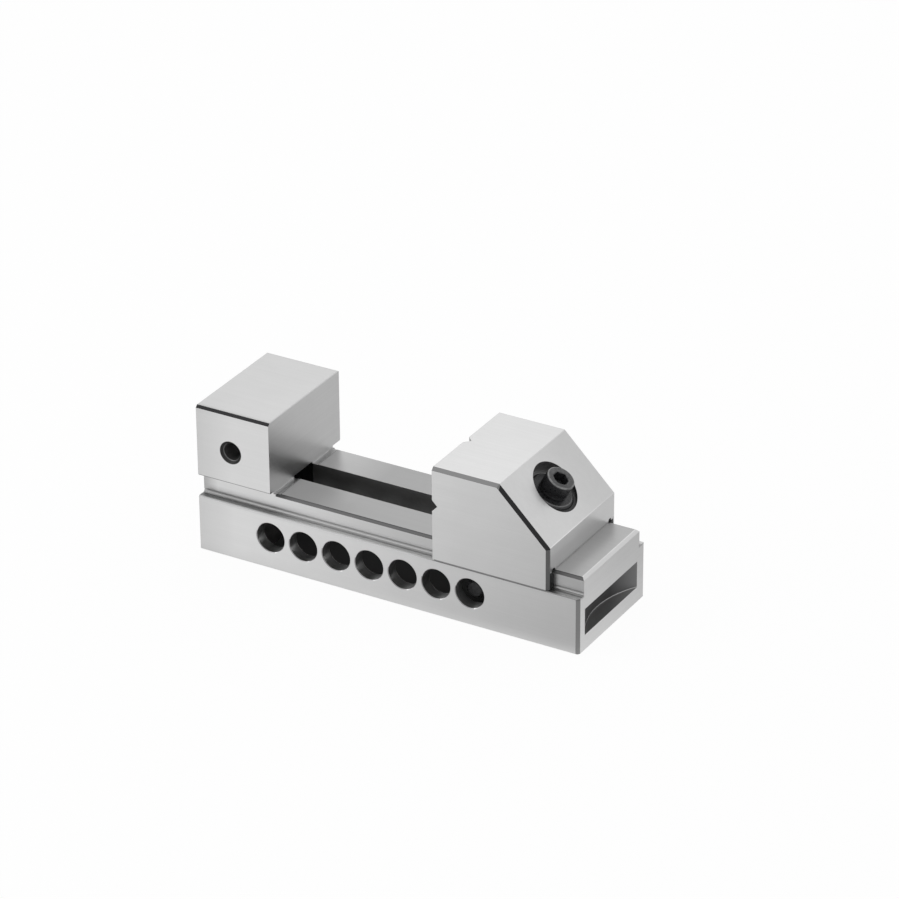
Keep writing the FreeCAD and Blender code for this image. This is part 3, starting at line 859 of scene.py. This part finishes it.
def seen_rays(tree, deepest):
    """Masks of the rays from the camera, and of those with the first ones that metal and glass send out."""
    rays = add_node(tree, "ShaderNodeLightPath").outputs
    sent = calculate(tree, "MAXIMUM", rays["Is Glossy Ray"], rays["Is Transmission Ray"])
    deeper = calculate(tree, "GREATER_THAN", rays["Ray Depth"], deepest)
    seen = calculate(tree, "MAXIMUM", rays["Is Camera Ray"], sent)
    direct = calculate(tree, "MAXIMUM", seen, calculate(tree, "SUBTRACT", 1.0, deeper))
    return rays["Is Camera Ray"], calculate(tree, "SUBTRACT", direct, deeper, clamp=True)


# Studio: how bright the floor looks in the metal, by two stations and the levels there, ahead of the
# vise from its left to its right, and behind it, with the turn from one to the other at its near side
WHITE = grey(1)
FLOOR_SIZE = 6.0
FLOOR_AHEAD = (-0.10, 0.10, 1.02, 0.60)
FLOOR_BEHIND = (-0.03, 0.08, 0.90, 0.65)
FLOOR_TURN = (-0.045, -0.035)
FLOOR_BRIGHT_SHARE = 0.95
FLOOR_TONE = grey(0.8)
# painted shadow under the vise, and its soft border
FLOOR_PAINTED_SHADOW_TONE = grey(0.05)
FLOOR_PAINTED_SHADOW_BORDER = 0.002
WORLD_DEEP = 0.8
WORLD_DIRECT = 0.92
PANEL_AIM = Vector((0, 0, 0.04))


def make_floor():
    """The pale floor, with a dark painted shadow under the vise."""
    deselect()
    bpy.ops.mesh.primitive_plane_add(size=FLOOR_SIZE)
    floor = bpy.context.object
    floor.name = "floor"
    material, tree, shader = new_material("pale_floor")
    tree.nodes.remove(shader)
    place = add_node(tree, "ShaderNodeTexCoord").outputs["Object"]
    camera_rays, direct_rays = seen_rays(tree, deepest=1.5)
    station = split(tree, place)
    ahead = remap(tree, station["X"], *FLOOR_AHEAD)
    behind = remap(tree, station["Y"], *FLOOR_BEHIND)
    level = mix(tree, "FLOAT", remap(tree, station["Y"], *FLOOR_TURN), ahead, behind)
    level = mix(tree, "FLOAT", camera_rays, level, 1.0)
    bright = add_node(tree, "ShaderNodeEmission", {"Color": WHITE, "Strength": level})
    # the painted shadow under the vise: dark, and without glow there
    footprint = {"Centre": (0, 0, 0), "Half Size": (LENGTH / 2, HALF_WIDTH, 1), "Border": FLOOR_PAINTED_SHADOW_BORDER}
    under = place_group(tree, BOX_MASK, {"Place": place, **footprint}).outputs[0]
    matt_tone = mix(tree, "RGBA", under, FLOOR_TONE, FLOOR_PAINTED_SHADOW_TONE)
    matt = add_node(tree, "ShaderNodeBsdfDiffuse", {"Color": matt_tone})
    clear = calculate(tree, "SUBTRACT", 1.0, under)
    share = calculate(tree, "MULTIPLY", direct_rays, calculate(tree, "MULTIPLY", clear, FLOOR_BRIGHT_SHARE))
    both = add_node(tree, "ShaderNodeMixShader", {0: share, 1: matt.outputs[0], 2: bright.outputs[0]})
    tree.links.new(both.outputs[0], tree.nodes["Material Output"].inputs["Surface"])
    floor.data.materials.append(material)


def make_world():
    """White all round, and a little darker where the metal shows it."""
    world = bpy.data.worlds.new("studio")
    world.use_nodes = True
    bpy.context.scene.world = world
    tree = world.node_tree
    backdrop = tree.nodes["Background"]
    camera_rays, direct_rays = seen_rays(tree, deepest=2.5)
    strength = mix(tree, "FLOAT", direct_rays, WORLD_DEEP, WORLD_DIRECT)
    strength = mix(tree, "FLOAT", camera_rays, strength, 1.0)
    tree.links.new(strength, backdrop.inputs["Strength"])
    backdrop.inputs["Color"].default_value = WHITE


def make_panel(name, place, width, height, power):
    """A panel of soft light that aims at the vise."""
    light = bpy.data.lights.new(name, "AREA")
    light.shape = "RECTANGLE"
    light.size = width
    light.size_y = height
    light.energy = power
    lamp = bpy.data.objects.new(name, light)
    lamp.location = place
    lamp.rotation_euler = (PANEL_AIM - Vector(place)).to_track_quat("-Z", "Y").to_euler()
    bpy.context.scene.collection.objects.link(lamp)


make_camera()
make_floor()
make_world()
make_panel("key_panel", place=(-0.9, -0.7, 0.9), width=0.6, height=0.6, power=3.0)
make_panel("top_panel", place=(-0.3, 0.9, 1.0), width=0.9, height=0.5, power=1.0)

view = bpy.context.scene.view_settings
view.view_transform = "Standard"
